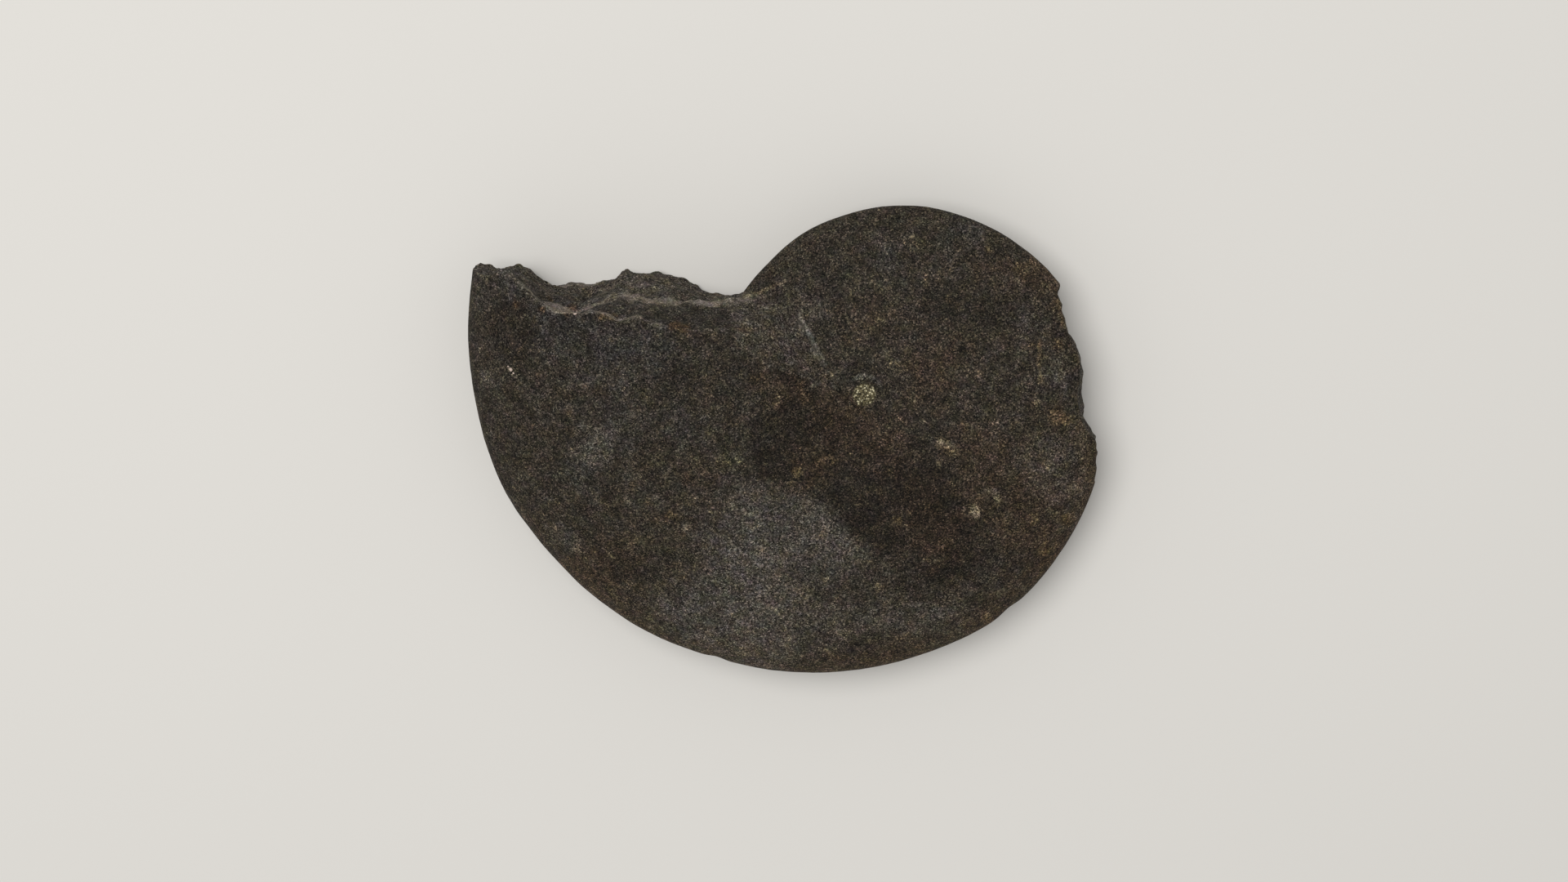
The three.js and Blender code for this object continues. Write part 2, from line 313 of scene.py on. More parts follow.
def broken_y(x, z):
    """The y of the rough face, with its hackly steps and lumps."""
    levels = sorted(BREAK_EDGES)
    at_levels = [interpolate(x, BREAK_EDGES[level]) for level in levels]
    wander = crest_rise(x) * max(0.0, 1 - abs(z - CREST_HEIGHT) / CREST_REACH)
    face = np.interp(z - wander, levels, at_levels)
    lumps = noise.fractal(Vector((x / FACE_LUMP_SIZE[0], z / FACE_LUMP_SIZE[1], 3.1)), *FACE_FRACTAL)
    chips = chipped(Vector((x / CHIP_SIZE[0], z / CHIP_SIZE[1], 0.7)))
    small_chips = chipped(Vector((x / SMALL_CHIP_SIZE[0], z / SMALL_CHIP_SIZE[1], 4.2)))
    chips += SMALL_CHIP_SHARE * small_chips
    return face + FACE_LUMP * lumps - interpolate(z, CHIP_DEPTHS) * (chips - MEAN_CHIP)


def slope_drop(x, y):
    """How far the slope lies below its own plane, negative above it."""
    lumps = noise.fractal(Vector((x / SLOPE_LUMP_SIZE, y / SLOPE_LUMP_SIZE, 5.5)), *SLOPE_FRACTAL)
    chips = chipped(Vector((x / SLOPE_CHIP_SIZE[0], y / SLOPE_CHIP_SIZE[1], 2.3)))
    return SLOPE_LUMP * lumps - SLOPE_CHIP * (chips - MEAN_SLOPE_CHIP)


break_face = relief_table(BREAK_SPAN, HEIGHT_SPAN, broken_y)
slope_lumps = relief_table(*SLOPE_SPANS, slope_drop)
corner_a, corner_b, corner_c = (Vector(corner) for corner in SLOPE_CORNERS)
slope_normal = (corner_b - corner_a).cross(corner_c - corner_a).normalized()


def blend_max(first, second, width=EDGE_WEAR):
    """The larger of two distances, with the edge between them rounded over."""
    overlap = np.clip(0.5 + 0.5 * (first - second) / width, 0, 1)
    return second + (first - second) * overlap + width * overlap * (1 - overlap)


def outside_break(x, y, z):
    """How far in mm a point lies outside the broken surfaces."""
    face = (y - break_face(x, z)) * SLANT
    slope = (
        (x - corner_a.x) * slope_normal.x
        + (y - corner_a.y) * slope_normal.y
        + (np.abs(z) - corner_a.z) * slope_normal.z
        + slope_lumps(x, y)
    )
    return blend_max(face, slope)


# ---- The fossil: the worn rim and the umbilicus ----------------------------------------------
# The oldest visible rim, towards +X, is chipped and worn back to a blunt bevel. The umbilicus is
# closed but for a small round pit, which a plug of pale mineral fills almost to the top.
WORN_EDGE = (  # what is left in the mid-plane, [y, x]
    (-30, 60), (-20, 48), (-16.5, 40.3), (-12.7, 40.6), (-8.7, 40.3), (-6.6, 39.0), (-5.0, 38.2),
    (-1.5, 37.5), (1.8, 37.7), (5.3, 37.1), (8.4, 36.0), (11.4, 34.6), (14.8, 34.1), (16.4, 33.3),
    (18.3, 33.4), (20.9, 31.3), (23.3, 28.8), (25.1, 26.0), (26.9, 23.6), (30, 30), (34, 60),
)  # fmt: skip
WORN_SPAN = (-32, 36)  # in y, of its relief table
WORN_LEAN = math.tan(math.radians(8))
WORN_LUMP = 0.6
WORN_LUMP_SIZE = 6
WORN_FRACTAL = (0.9, 2.2, 4)
WORN_LUMP_TOP = 0.15  # the lumps are rubbed down to this, and only the hollows are left whole
PIT_RADIUS = 2.7
PIT_DEPTH = 0.5
PLUG_RADIUS = 1.9
PLUG_TOP = 0.1  # below the flank
PLUG_FOOT = 0.1  # beyond the plug's radius
PLUG_SHOULDER = 0.7  # inside it


def worn_lumps(y, z):
    """How far the worn rim's lumps stand out."""
    place = Vector((y / WORN_LUMP_SIZE, z / WORN_LUMP_SIZE, 1.7))
    return WORN_LUMP * noise.fractal(place, *WORN_FRACTAL)


rim_lumps = relief_table(WORN_SPAN, HEIGHT_SPAN, worn_lumps)


def outside_wear(x, y, z):
    """How far in mm a point lies outside the worn rim."""
    edge = interpolate(y, WORN_EDGE) + np.minimum(rim_lumps(y, z), WORN_LUMP_TOP)
    return (x + WORN_LEAN * np.abs(z) - edge) * SLANT


def outside_pit(radius, z):
    """Positive in the ring-shaped hollow round the plug, on the upper flank."""
    foot = PLUG_RADIUS + PLUG_FOOT
    shoulder = PLUG_RADIUS - PLUG_SHOULDER
    floor = UPPER_UMBILICUS[0] - PIT_DEPTH * smoothstep(radius, PIT_RADIUS, foot)
    plug = (PIT_DEPTH - PLUG_TOP) * smoothstep(radius, foot, shoulder)
    return np.where(radius < PIT_RADIUS, z - floor - plug, -DEEP)


# ---- The fossil: its form as one solid -------------------------------------------------------
# The fossil is one piece of stone, so the coil, the break and the worn places share one surface.
# It is drawn on a grid, where the distance outside the stone passes zero, and its corners are then
# moved along the way out of the stone until they lie on it.
CELL = 0.48  # of the grid that the skin is drawn on
GRID_MARGIN = 1.2
SETTLING_STEPS = 2
PROBE = 0.1  # how far off the distance is felt, to find the way out of the stone


def measure(x, y, z):
    """For points in mm from the axis and the mid-plane: the distance outside the fossil, the depth
    under the last whorl's outside, and the distance outside the older whorl."""
    radius, turn = coil_place(x, y)
    last = outside_whorl(radius, z, turn)
    old = outside_whorl(radius, z, turn - FULL_TURN)
    broken = np.where(turn > BREAK_FROM_TURN, outside_break(x, y, z), -DEEP)
    left = np.minimum(blend_max(last, broken), old)
    cut = np.maximum(blend_max(left, outside_wear(x, y, z)), outside_pit(radius, z))
    flat = -z - MID_PLANE
    return np.maximum(cut, flat), -last, old


def draw_skin(values, origin, cell):
    """Draws the surface where the values pass zero: a corner in each grid cell that it crosses, and
    a face of four corners across each grid edge that it crosses."""
    inside = values < 0
    shape = np.array(values.shape) - 1
    total = np.zeros((*shape, 3))
    crossings = np.zeros(shape)
    edges = []
    for axis in range(3):
        step = np.eye(3, dtype=int)[axis]
        start = tuple(slice(0, n - s) for n, s in zip(values.shape, step))
        end = tuple(slice(s, None) for s in step)
        crossed = inside[start] != inside[end]
        places = np.argwhere(crossed)
        first, second = values[start][crossed], values[end][crossed]
        points = places + step * (first / (first - second))[:, None]
        edges.append((places, inside[start][crossed]))
        others = [a for a in range(3) if a != axis]
        for back in itertools.product((0, 1), repeat=2):
            cells = places.copy()
            cells[:, others] -= back
            held = np.all((cells >= 0) & (cells < shape), axis=1)
            np.add.at(total, tuple(cells[held].T), points[held])
            np.add.at(crossings, tuple(cells[held].T), 1)
    used = crossings > 0
    number = np.full(shape, -1)
    number[used] = np.arange(used.sum())
    corners = total[used] / crossings[used][:, None] * cell + origin
    faces = []
    for axis, (places, starts_inside) in enumerate(edges):
        a, b = ((1, 2), (2, 0), (0, 1))[axis]
        ring = []
        for back_a, back_b in ((1, 1), (0, 1), (0, 0), (1, 0)):
            cells = places.copy()
            cells[:, a] -= back_a
            cells[:, b] -= back_b
            ring.append(number[tuple(cells.T)])
        quads = np.stack(ring, axis=1)
        quads[~starts_inside] = quads[~starts_inside][:, ::-1]
        faces.append(quads)
    return corners, np.concatenate(faces)


def outward(points):
    """The way out of the stone at each point, as unit vectors, and the distance outside there."""
    here = measure(*points.T)[0]
    rises = [measure(*(points + PROBE * step).T)[0] - here for step in np.eye(3)]
    uphill = np.stack(rises, axis=1) / PROBE
    return uphill / np.maximum(np.linalg.norm(uphill, axis=1), LEAST_SLOPE)[:, None], here


box_low, box_high = (np.array(corner) / MM - (0, 0, MID_PLANE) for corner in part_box("ammonite"))
spans = [(low - GRID_MARGIN, high + GRID_MARGIN) for low, high in zip(box_low, box_high)]
axes = [np.arange(start, end, CELL) for start, end in spans]
distances = measure(*np.meshgrid(*axes, indexing="ij"))[0]
corners, faces = draw_skin(distances, np.array([a[0] for a in axes]), CELL)
for _ in range(SETTLING_STEPS):
    normals, outside = outward(corners)
    corners = corners - normals * np.clip(outside, -CELL, CELL)[:, None]


# ---- The fossil: its surface relief ----------------------------------------------------------
# Weathering left the flanks slightly uneven, with shallow dents, and the broken faces granular.
# The skin is moved out or in by it, a fraction of a millimetre, and never out of the CAD's box.
FLANK_RELIEF = 0.07
FLANK_WAVE = 6
FLANK_FRACTAL = (0.9, 2.1, 4)
MEAN_FLANK = 0.8
DENT = 0.05
DENT_SIZE = 7.5
BROKEN_RELIEF = 0.26
BROKEN_WAVE = 2.0
BROKEN_FRACTAL = (0.7, 2.1, 2)
BROKEN_SPAN = (0.1, 0.9)  # depths under the old outside where it begins and is full
WANDER_SIZES = (5, 1.7)
SMALL_WANDER_SHARE = 0.5

normals, _ = outward(corners)
_, depth, from_old = measure(*corners.T)
broken_in = np.minimum(depth, from_old)
roughened = smoothstep(broken_in, *BROKEN_SPAN)
relief = np.empty(len(corners))
wander = np.empty(len(corners))  # a slow noise about 0, which keeps marks from running too evenly
for i, point in enumerate(corners):
    place = Vector(point)
    large, small = (noise.noise(place / size) for size in WANDER_SIZES)
    wander[i] = large + SMALL_WANDER_SHARE * small
    gentle = noise.fractal(place / FLANK_WAVE, *FLANK_FRACTAL) - MEAN_FLANK
    dented = -chipped(place / DENT_SIZE)
    grainy = noise.fractal(place / BROKEN_WAVE, *BROKEN_FRACTAL)
    relief[i] = FLANK_RELIEF * gentle + DENT * dented + BROKEN_RELIEF * roughened[i] * grainy
corners = corners + normals * relief[:, None]
corners = np.clip(corners, box_low, box_high)

fossil_mesh = bpy.data.meshes.new("fossil")
fossil_mesh.from_pydata(((corners + (0, 0, MID_PLANE)) * MM).tolist(), [], faces.tolist())
fossil_mesh.polygons.foreach_set("use_smooth", np.ones(len(faces), dtype=bool))
fossil = bpy.data.objects.new("fossil", fossil_mesh)
bpy.context.scene.collection.objects.link(fossil)


# ---- The fossil: where it is stained ---------------------------------------------------------
# Iron-rich water stained parts of the flanks brown and left others grey, and mineral grew in veins
# and specks; a pale arc on the pit's rim is a painted highlight. Each field below says where, and
# is kept at the mesh's corners.
DARK_BAND = (  # outlines, lines and spots lie in the flank's plane, [x, y]
    (-16, 2), (-20, -5), (-18.5, -12.5), (-12.6, -15.4), (-8.7, -16.8), (-4.5, -20), (-1.7, -23.7),
    (1.8, -27.1), (6.7, -29), (12, -34), (18, -33), (22, -22), (15, -12), (9, -7), (4, -2), (-3, 1),
    (-10, 4),
)  # fmt: skip
PALE_PATCH = (
    (-23, -14), (-17, -15), (-12.6, -16), (-8.7, -17.3), (-5, -20.5), (-2.2, -24.2), (1.4, -27.8),
    (0, -32), (-8, -33), (-10, -40), (-14, -50), (-25, -49), (-34, -46), (-37, -38), (-28, -29),
    (-31, -24), (-24, -20),
)  # fmt: skip
BAND_SOFTNESS = ((-22, 0.5), (-6, 3.0))  # at x + y: sharp where the two meet, soft on the far sides
PATCH_SOFTNESS = ((-36, 3.0), (-28, 0.6))
VEIN_WIDTH = 0.5
VEINS = (  # strength, and the line
    (1.0, ((29.8, 9.1), (29.7, 5.5), (29.9, 2.2))),
    (0.55, ((-55.9, 14.0), (-56.4, 12.3), (-57.1, 10.0), (-58.8, 7.9), (-60.8, 4.2))),
    (0.9, ((-19.7, 16.2), (-18.1, 17.1), (-15.9, 18.0), (-13.8, 18.8))),
    (0.8, ((-23.5, 12.9), (-21.5, 12.3), (-18.9, 11.8), (-16.6, 12.0))),
)
SPOTS = {  # x, y and reach of each
    "cool": (
        (-45, 9, 8), (-54, 12, 5), (-35, 9, 6), (-49, -12, 5), (-43, -6, 5), (-21, -26, 8), (-30, -41, 7),
        (-16, -22, 4), (-22, -36, 6), (27, 13, 3), (34, 1.5, 3), (17, 28, 5), (4, 24, 4), (9, -29, 3),
        (-62, 19, 5), (-9, -30, 2.5), (15, -19, 1.5), (-31, -5, 5), (-21.5, 14.3, 2.2), (-49, 15.5, 3),
    ),
    "warm": (
        (-9, -12, 5), (9, -19, 7), (3, -8, 6), (27, -19, 11), (34, -26, 7), (20, -10, 6), (12, -27, 5),
        (-13, 3, 6), (33, -4, 3), (22, -42, 5), (35, -22, 6), (36, -25, 6), (-4, -3, 5), (27, 20, 4),
        (-57, -24, 4), (20, 22, 3), (-28, -14, 4), (1, 13, 5), (-33, -21, 2), (34, 9, 2.5), (10, 2, 5),
        (5, -46, 8), (-50, -35, 6), (14, 8, 6), (-43, -29, 7),
    ),
    "pale": (
        (-21, -26, 6), (-15, -32, 5), (-23, -34, 5), (-20, -18, 4), (-8, -22, 4), (-15, -44, 7),
        (-29, -44, 7), (-36, -38, 4), (-4, -40, 6), (6, -40, 6), (15, -40, 5), (-47, -10, 4),
        (-44, -7, 3), (-20, -47, 6), (-53, -26, 4), (31, -11, 6), (35, -18, 4), (36, -24, 3),
        (-21.5, 14.3, 2.2), (-17, 13.6, 3), (-65, 2, 3), (33, 4, 3), (-9, 15, 3), (-38, 19, 6),
        (-39, 19.5, 3),
    ),
    "dark": (
        (11, -17, 5), (8, -18, 4), (3, -25, 3), (-2, -20, 2.5), (-18, -10, 2), (-17, -13, 1.5),
        (13, -31, 4), (-12, -31, 2.5), (-61, 13, 4), (-60, 9, 4), (-60, 11, 5), (14, 15, 5),
        (20, -28, 4), (-31, 4, 5), (22, 14, 4), (-20, 5, 4), (12, -16, 4), (10, -15, 4),
        (-43, -30, 5), (-1, -21.5, 2),
    ),
    "tan": (
        (32.4, -3.2, 1.5), (32.3, -5, 1.0), (34.8, -4.5, 1.2), (33.4, -4.2, 1.0), (32.9, 9, 0.8),
        (34.5, 12, 1.2), (-11.4, -13.0, 1.3), (6.0, -21.3, 0.8), (31.5, -28.3, 1.3), (29.5, -22, 1.4),
        (21.8, -41, 1.2), (-33.4, -20.9, 1.2), (20.9, 24.6, 0.8), (13.5, -8.2, 1.6),
        (-44.3, 14.2, 1.1), (-42.3, 14.0, 1.0),
    ),
    "rust": (
        (-32.4, 12.6, 0.6), (-31.5, 12.5, 0.6), (-30.6, 12.3, 0.6), (-29.7, 12.1, 0.6),
        (-54.8, 15.0, 0.9), (-59.5, 15.5, 0.9), (-50.4, 14.4, 0.9), (-38.1, 18, 1.2),
        (-43.3, 18.4, 1.0), (35.5, -23, 2),
    ),
    "speck": (
        (13.0, -7.9, 0.7), (14.2, -8.3, 0.8), (22, -16.5, 0.8), (22.8, -17.9, 0.8), (19.0, -19.9, 0.7),
        (19.6, -21, 0.7), (-10, -22, 0.5), (-15.5, -38, 0.45), (-8.8, 2.2, 0.4), (8.6, -1.2, 0.6),
        (10.2, -4.5, 0.6), (-31, -23, 0.5), (-60.9, 3.9, 0.8), (-59.8, 3.2, 0.7),
    ),
}  # fmt: skip
UNDERSIDE_TURN = (-30.0, -22.0)  # the underside has like patches, turned half round
RIM_WEAR_AND_LIGHT = (-40, 150)  # turn angles between which the rim is paler and browner: partly wear, partly painted light
PIT_HIGHLIGHT_RADIUS = 3.2  # of the painted highlight, a pale arc on the pit's rim
PIT_HIGHLIGHT_WIDTH = 0.6
PIT_HIGHLIGHT_BEARING = math.radians(72)
PIT_HIGHLIGHT_WANDER = 0.2


def from_line(x, y, line):
    """How far in mm a place lies from a line through some points."""
    nearest = np.full(x.shape, np.inf)
    for (ax, ay), (bx, by) in itertools.pairwise(line):
        square = (bx - ax) ** 2 + (by - ay) ** 2
        along = np.clip(((x - ax) * (bx - ax) + (y - ay) * (by - ay)) / square, 0, 1)
        off = np.hypot(x - ax - along * (bx - ax), y - ay - along * (by - ay))
        nearest = np.minimum(nearest, off)
    return nearest


def outside_outline(x, y, outline):
    """How far in mm a place lies outside a closed outline, negative inside it."""
    closed = (*outline, outline[0])
    inside = np.zeros(x.shape, dtype=bool)
    for (ax, ay), (bx, by) in itertools.pairwise(closed):
        if ay != by:
            inside ^= ((ay > y) != (by > y)) & (x < ax + (y - ay) * (bx - ax) / (by - ay))
    return from_line(x, y, closed) * np.where(inside, -1, 1)


def hump(value, middle, reach):
    """1 in the middle, falling off to almost nothing at twice the reach."""
    return np.exp(-(((value - middle) / reach) ** 2))


def between(value, span):
    """Whether a value lies inside a span."""
    return (value > span[0]) & (value < span[1])


x, y, z = corners.T
underneath = z < 0
patch_x = np.where(underneath, UNDERSIDE_TURN[0] - x, x)
patch_y = np.where(underneath, UNDERSIDE_TURN[1] - y, y)
across = patch_x + patch_y
from_band = outside_outline(patch_x, patch_y, DARK_BAND)
from_patch = outside_outline(patch_x, patch_y, PALE_PATCH)
veins = [share * hump(from_line(patch_x, patch_y, vein), 0, VEIN_WIDTH) for share, vein in VEINS]
fields = {
    "dark_band": from_band / interpolate(across, BAND_SOFTNESS),
    "pale_patch": from_patch / interpolate(across, PATCH_SOFTNESS),
    "vein": np.maximum.reduce(veins),
    "broken_in": broken_in,
}
for name, spots in SPOTS.items():
    fields[name] = np.zeros(len(corners))
    for spot_x, spot_y, reach in spots:
        fields[name] += np.exp(-((patch_x - spot_x) ** 2 + (patch_y - spot_y) ** 2) / reach**2)

radius, turn = coil_place(x, y)
# The rim's right and lower sides are paler and browner: partly wear, and partly painted light that lifts
# the shade where the rim turns sideways, away from the lamp.
fields["rim_share"] = np.where(between(turn, RIM_WEAR_AND_LIGHT), radius / rim_radius(turn), 0)
# A painted highlight: a pale arc along the upper right of the pit's rim, where its ridge would catch the
# light.
pit_rim_highlight = hump(np.hypot(x, y) + PIT_HIGHLIGHT_WANDER * wander, PIT_HIGHLIGHT_RADIUS, PIT_HIGHLIGHT_WIDTH)
pit_rim_highlight *= np.clip(np.cos(np.arctan2(y, x) - PIT_HIGHLIGHT_BEARING), 0, 1)
fields["pit_rim_highlight"] = np.where(underneath, 0, pit_rim_highlight)


# ---- The fossil: its shell where it broke through --------------------------------------------
# The shell is a thin calcite layer round the fill. It shows as pale seams along the break's outside
# and crest, as two lenses between them, and along the foot of the slope, where the older whorl's
# shell was bared. Rubbed edges, which are paler too, are found here as well.
BROKEN_FROM = 0.05  # depth under the old outside from which a place belongs to the break
BREAK_FRONT = 8  # the break lies behind this y
BREAK_END = -6  # and to the left of this x
SEAM_DEPTH = 1.0  # of its middle, under the old outside
SEAM_WIDTHS = (0.9, 1.3)  # its reach above the mid-plane and below it
SEAM_WANDER = 0.3
SEAM_STRENGTHS = (  # at an x
    (-66, 0.35), (-62, 0.45), (-58, 0.8), (-54, 1.1), (-43, 1.0), (-40, 0.8), (-37, 0.65),
    (-34, 0.75), (-32, 0.3), (-27, 0.15), (-24, 0.45), (-18, 0.4),
)  # fmt: skip
LOWER_SEAM = (0.8, 0.6)  # its strength below the mid-plane, and how much it comes and goes
CREST_SPAN = (-70, 0, 0.5)  # start, end and step of the places in x where the crest is known
CREST_SEAM_RISE = -0.3  # of its middle, from the crest
CREST_SEAM_WIDTHS = ((-48, 2.8), (-44, 2.2), (-38, 1.8), (-30, 1.9), (-25, 2.2), (-19, 2.8))
CREST_SEAM_STRENGTHS = ((-48, 0.95), (-44, 0.69), (-36, 1.1), (-25, 0.83), (-19.5, 0.65), (-17, 0))
CREST_SEAM_FADE = 1
CREST_SEAM_UNEVENNESS = 0.4
FACET_START = -48.5  # in x, of the crest's seam as well
FACET_FADE = 1.5
FACET_END = (-20, -24)  # where it has faded out, and where it starts to
NEAR_LENS_STRENGTH = 1.2
NEAR_LENS_SPAN = (-51.5, 3.4)  # its middle in x, and its reach
NEAR_LENS_FADE = (-1.5, 1)  # from the crest up
FAR_LENS_STRENGTH = 0.6
FAR_LENS_SPAN = (-39.5, 4)
FAR_LENS_HEIGHTS = (-2.5, 3)  # its middle, and its reach up and down
FAR_LENS_UNEVENNESS = 0.3
SLOPE_FROM = 0.03  # depth from which a place belongs to the slope
SLOPE_ACROSS = (-20, 0)  # in x
SLOPE_ALONG = (2, 17)  # in y
SLOPE_BOTTOM = 2
SLOPE_FADE = (-21, -18)
OLD_SHELL_EDGE = ((-11.2, 12.9), (-10.0, 11.1), (-9.0, 9.1), (-8.2, 7.5), (-7.0, 5.3))
OLD_SHELL_WIDTH = 0.75
OLD_SHELL_WANDER = 0.15

on_break = (broken_in > BROKEN_FROM) & (y > BREAK_FRONT) & (x < BREAK_END)
lower_seam = LOWER_SEAM[0] + LOWER_SEAM[1] * wander
shell_seam = hump(depth + SEAM_WANDER * wander, SEAM_DEPTH, np.where(z > 0, *SEAM_WIDTHS))
shell_seam *= interpolate(x, SEAM_STRENGTHS) * np.where(z > 0, 1, lower_seam)

crest_rises = [(at, crest_rise(at)) for at in np.arange(*CREST_SPAN)]
above_crest = z - CREST_HEIGHT - interpolate(x, crest_rises)
uneven = 1 + CREST_SEAM_UNEVENNESS * wander
crest_seam = hump(above_crest, CREST_SEAM_RISE, interpolate(x, CREST_SEAM_WIDTHS) * uneven)
crest_seam *= smoothstep(x, FACET_START - CREST_SEAM_FADE, FACET_START + CREST_SEAM_FADE)
crest_seam *= interpolate(x, CREST_SEAM_STRENGTHS) * uneven

near_lens = NEAR_LENS_STRENGTH * hump(x, *NEAR_LENS_SPAN)
near_lens *= smoothstep(above_crest + wander, *NEAR_LENS_FADE)
far_lens = FAR_LENS_STRENGTH * hump(x, *FAR_LENS_SPAN) * hump(z, *FAR_LENS_HEIGHTS)
far_lens *= 1 + FAR_LENS_UNEVENNESS * wander
seams = np.maximum.reduce([shell_seam, crest_seam, near_lens, far_lens])
fields["seam"] = np.where(on_break, seams, 0)
facet = smoothstep(x, FACET_START - FACET_FADE, FACET_START + FACET_FADE) * smoothstep(x, *FACET_END)
fields["facet"] = np.where(on_break, facet * smoothstep(above_crest, 0, FACET_FADE), 0)

on_slope = (broken_in > SLOPE_FROM) & (z > SLOPE_BOTTOM)
on_slope &= between(x, SLOPE_ACROSS) & between(y, SLOPE_ALONG)
fields["slope"] = np.where(on_slope, smoothstep(x, *SLOPE_FADE), 0)
old_shell = hump(from_line(x, y, OLD_SHELL_EDGE) + OLD_SHELL_WANDER * wander, 0, OLD_SHELL_WIDTH)
fields["old_shell"] = np.where(underneath, 0, old_shell)

bulge = np.zeros(len(corners))  # how far each corner stands out from its neighbours
neighbours = np.zeros(len(corners))
for side in ((0, 1), (1, 2), (2, 3), (3, 0)):
    for here, there in (side, side[::-1]):
        apart = corners[faces[:, here]] - corners[faces[:, there]]
        np.add.at(bulge, faces[:, here], np.einsum("ij,ij->i", apart, normals[faces[:, here]]))
        np.add.at(neighbours, faces[:, here], 1)
fields["bulge"] = bulge / neighbours / CELL

for name, values in fields.items():
    kept = fossil_mesh.attributes.new(name, "FLOAT", "POINT")
    kept.data.foreach_set("value", values.astype(np.float32))


# ---- The fossil: its stone -------------------------------------------------------------------
# Ironstone, naturally weathered: dull and gritty, dark brown-grey, and peppered with dark and pale
# grains. Bedded-in mineral and rubbed edges are paler.
CLOUD_SIZE = 3.0
CLOUD_DETAIL = 6.0
CLOUD_ROUGHNESS = 0.85
MEAN_CLOUD = 0.5
DRIFT_SIZE = 2.5
DRIFT_DETAIL = 4.0
DRIFT_ROUGHNESS = 0.8
DARK_STONE = linear("#342f28")
LIGHT_STONE = linear("#433d34")
LAYERS = (  # field, where it starts and is full, how frayed its edge is, colour and strength
    ("dark_band", 1.0, -2.0, 5.0, "#2a251f", 0.8),
    ("pale_patch", 1.0, -2.5, 8.0, "#57524b", 0.65),
    # rim: partly wear, partly painted light that lifts its shade
    ("rim_share", 0.85, 1.0, 0.3, "#574a38", 0.5),
    ("broken_in", 0.1, 0.6, 0.5, "#534e46", 0.9),
    ("facet", 0.2, 0.9, 0.8, "#39352e", 0.9),
    ("slope", 0.2, 0.9, 0.8, "#514b43", 0.9),
    ("cool", 0.2, 1.3, 2.0, "#393a3c", 0.35),
    ("warm", 0.2, 1.3, 2.0, "#46382b", 0.45),
    ("pale", 0.2, 1.2, 1.5, "#5b554c", 0.45),
    ("dark", 0.2, 1.2, 1.5, "#241f19", 0.55),
    ("bulge", 0.05, 0.22, 0.15, "#6a6358", 0.6),
    ("tan", 0.25, 1.2, 4.0, "#6b5b40", 0.6),
    ("rust", 0.25, 1.1, 3.0, "#54422c", 0.7),
    ("vein", 0.4, 1.0, 2.0, "#6b5d48", 0.55),
    ("old_shell", 0.3, 1.0, 1.5, "#78746c", 0.75),
    ("seam", 0.35, 0.9, 1.0, "#898074", 0.9),
    ("speck", 0.35, 1.1, 4.0, "#8a7f6a", 0.7),
    # painted highlight on the pit's rim
    ("pit_rim_highlight", 0.25, 0.8, 1.5, "#67655f", 0.55),
)

stone, tree = material_tree("weathered_ironstone")
place = add(tree, "ShaderNodeTexCoord", {}).outputs["Object"]
place_mm = add(
    tree, "ShaderNodeVectorMath", {0: place, "Scale": 1 / MM}, operation="SCALE"
).outputs[0]

# Soft clouds of darker and lighter stone, which also fray the layers' edges, and drifts of hue.
clouds = add(
    tree,
    "ShaderNodeTexNoise",
    {"Vector": place_mm, "Scale": 1 / CLOUD_SIZE, "Detail": CLOUD_DETAIL, "Roughness": CLOUD_ROUGHNESS},
).outputs["Fac"]
drifts = add(
    tree,
    "ShaderNodeTexNoise",
    {"Vector": place_mm, "Scale": 1 / DRIFT_SIZE, "Detail": DRIFT_DETAIL, "Roughness": DRIFT_ROUGHNESS},
).outputs["Color"]
frayed = add(tree, "ShaderNodeMath", {0: clouds, 1: MEAN_CLOUD}, operation="SUBTRACT").outputs[0]
colour = add(
    tree, "ShaderNodeMixRGB", {"Fac": clouds, "Color1": DARK_STONE, "Color2": LIGHT_STONE}
).outputs["Color"]
amounts = {}
for field, start, full, fray, tint, strength in LAYERS:
    amount = add(tree, "ShaderNodeAttribute", {}, attribute_name=field).outputs["Fac"]
    amount = add(
        tree, "ShaderNodeMath", {0: frayed, 1: fray, 2: amount}, operation="MULTIPLY_ADD"
    ).outputs[0]
    amounts[field] = add(
        tree,
        "ShaderNodeMapRange",
        {"Value": amount, "From Min": start, "From Max": full, "To Max": strength},
        interpolation_type="SMOOTHSTEP",
    ).outputs[0]
    colour = add(
        tree, "ShaderNodeMixRGB", {"Fac": amounts[field], "Color1": colour, "Color2": linear(tint)}
    ).outputs["Color"]

# The grains, a fifth of a millimetre wide: most are dark, and a few stand out pale.
GRAIN = 0.19
GRAIN_CONTRAST = 1.15
DARKEST_GRAIN = 0.04
PALE_GRAIN = 1.9
PALE_RARITY = 9.0  # the higher, the fewer grains stand out
CLOUD_CONTRAST = 2.8
SHELL_CALM = 0.5  # the shell layers are finer grained
MEAN_LIGHTNESS = 0.8
HUE_SWING = (0.65, 0.45, 1.1)  # of red, green and blue, from one drift to another
HUE_START = (0.69, 0.771, 0.42)
grains = add(tree, "ShaderNodeTexVoronoi", {"Vector": place_mm, "Scale": 1 / GRAIN}).outputs["Color"]
luck = add(tree, "ShaderNodeSeparateColor", {"Color": grains}).outputs[0]
rare = add(tree, "ShaderNodeMath", {0: luck, 1: PALE_RARITY}, operation="POWER").outputs[0]
lightness = add(
    tree, "ShaderNodeMath", {0: luck, 1: GRAIN_CONTRAST, 2: DARKEST_GRAIN}, operation="MULTIPLY_ADD"
).outputs[0]
lightness = add(
    tree, "ShaderNodeMath", {0: rare, 1: PALE_GRAIN, 2: lightness}, operation="MULTIPLY_ADD"
).outputs[0]
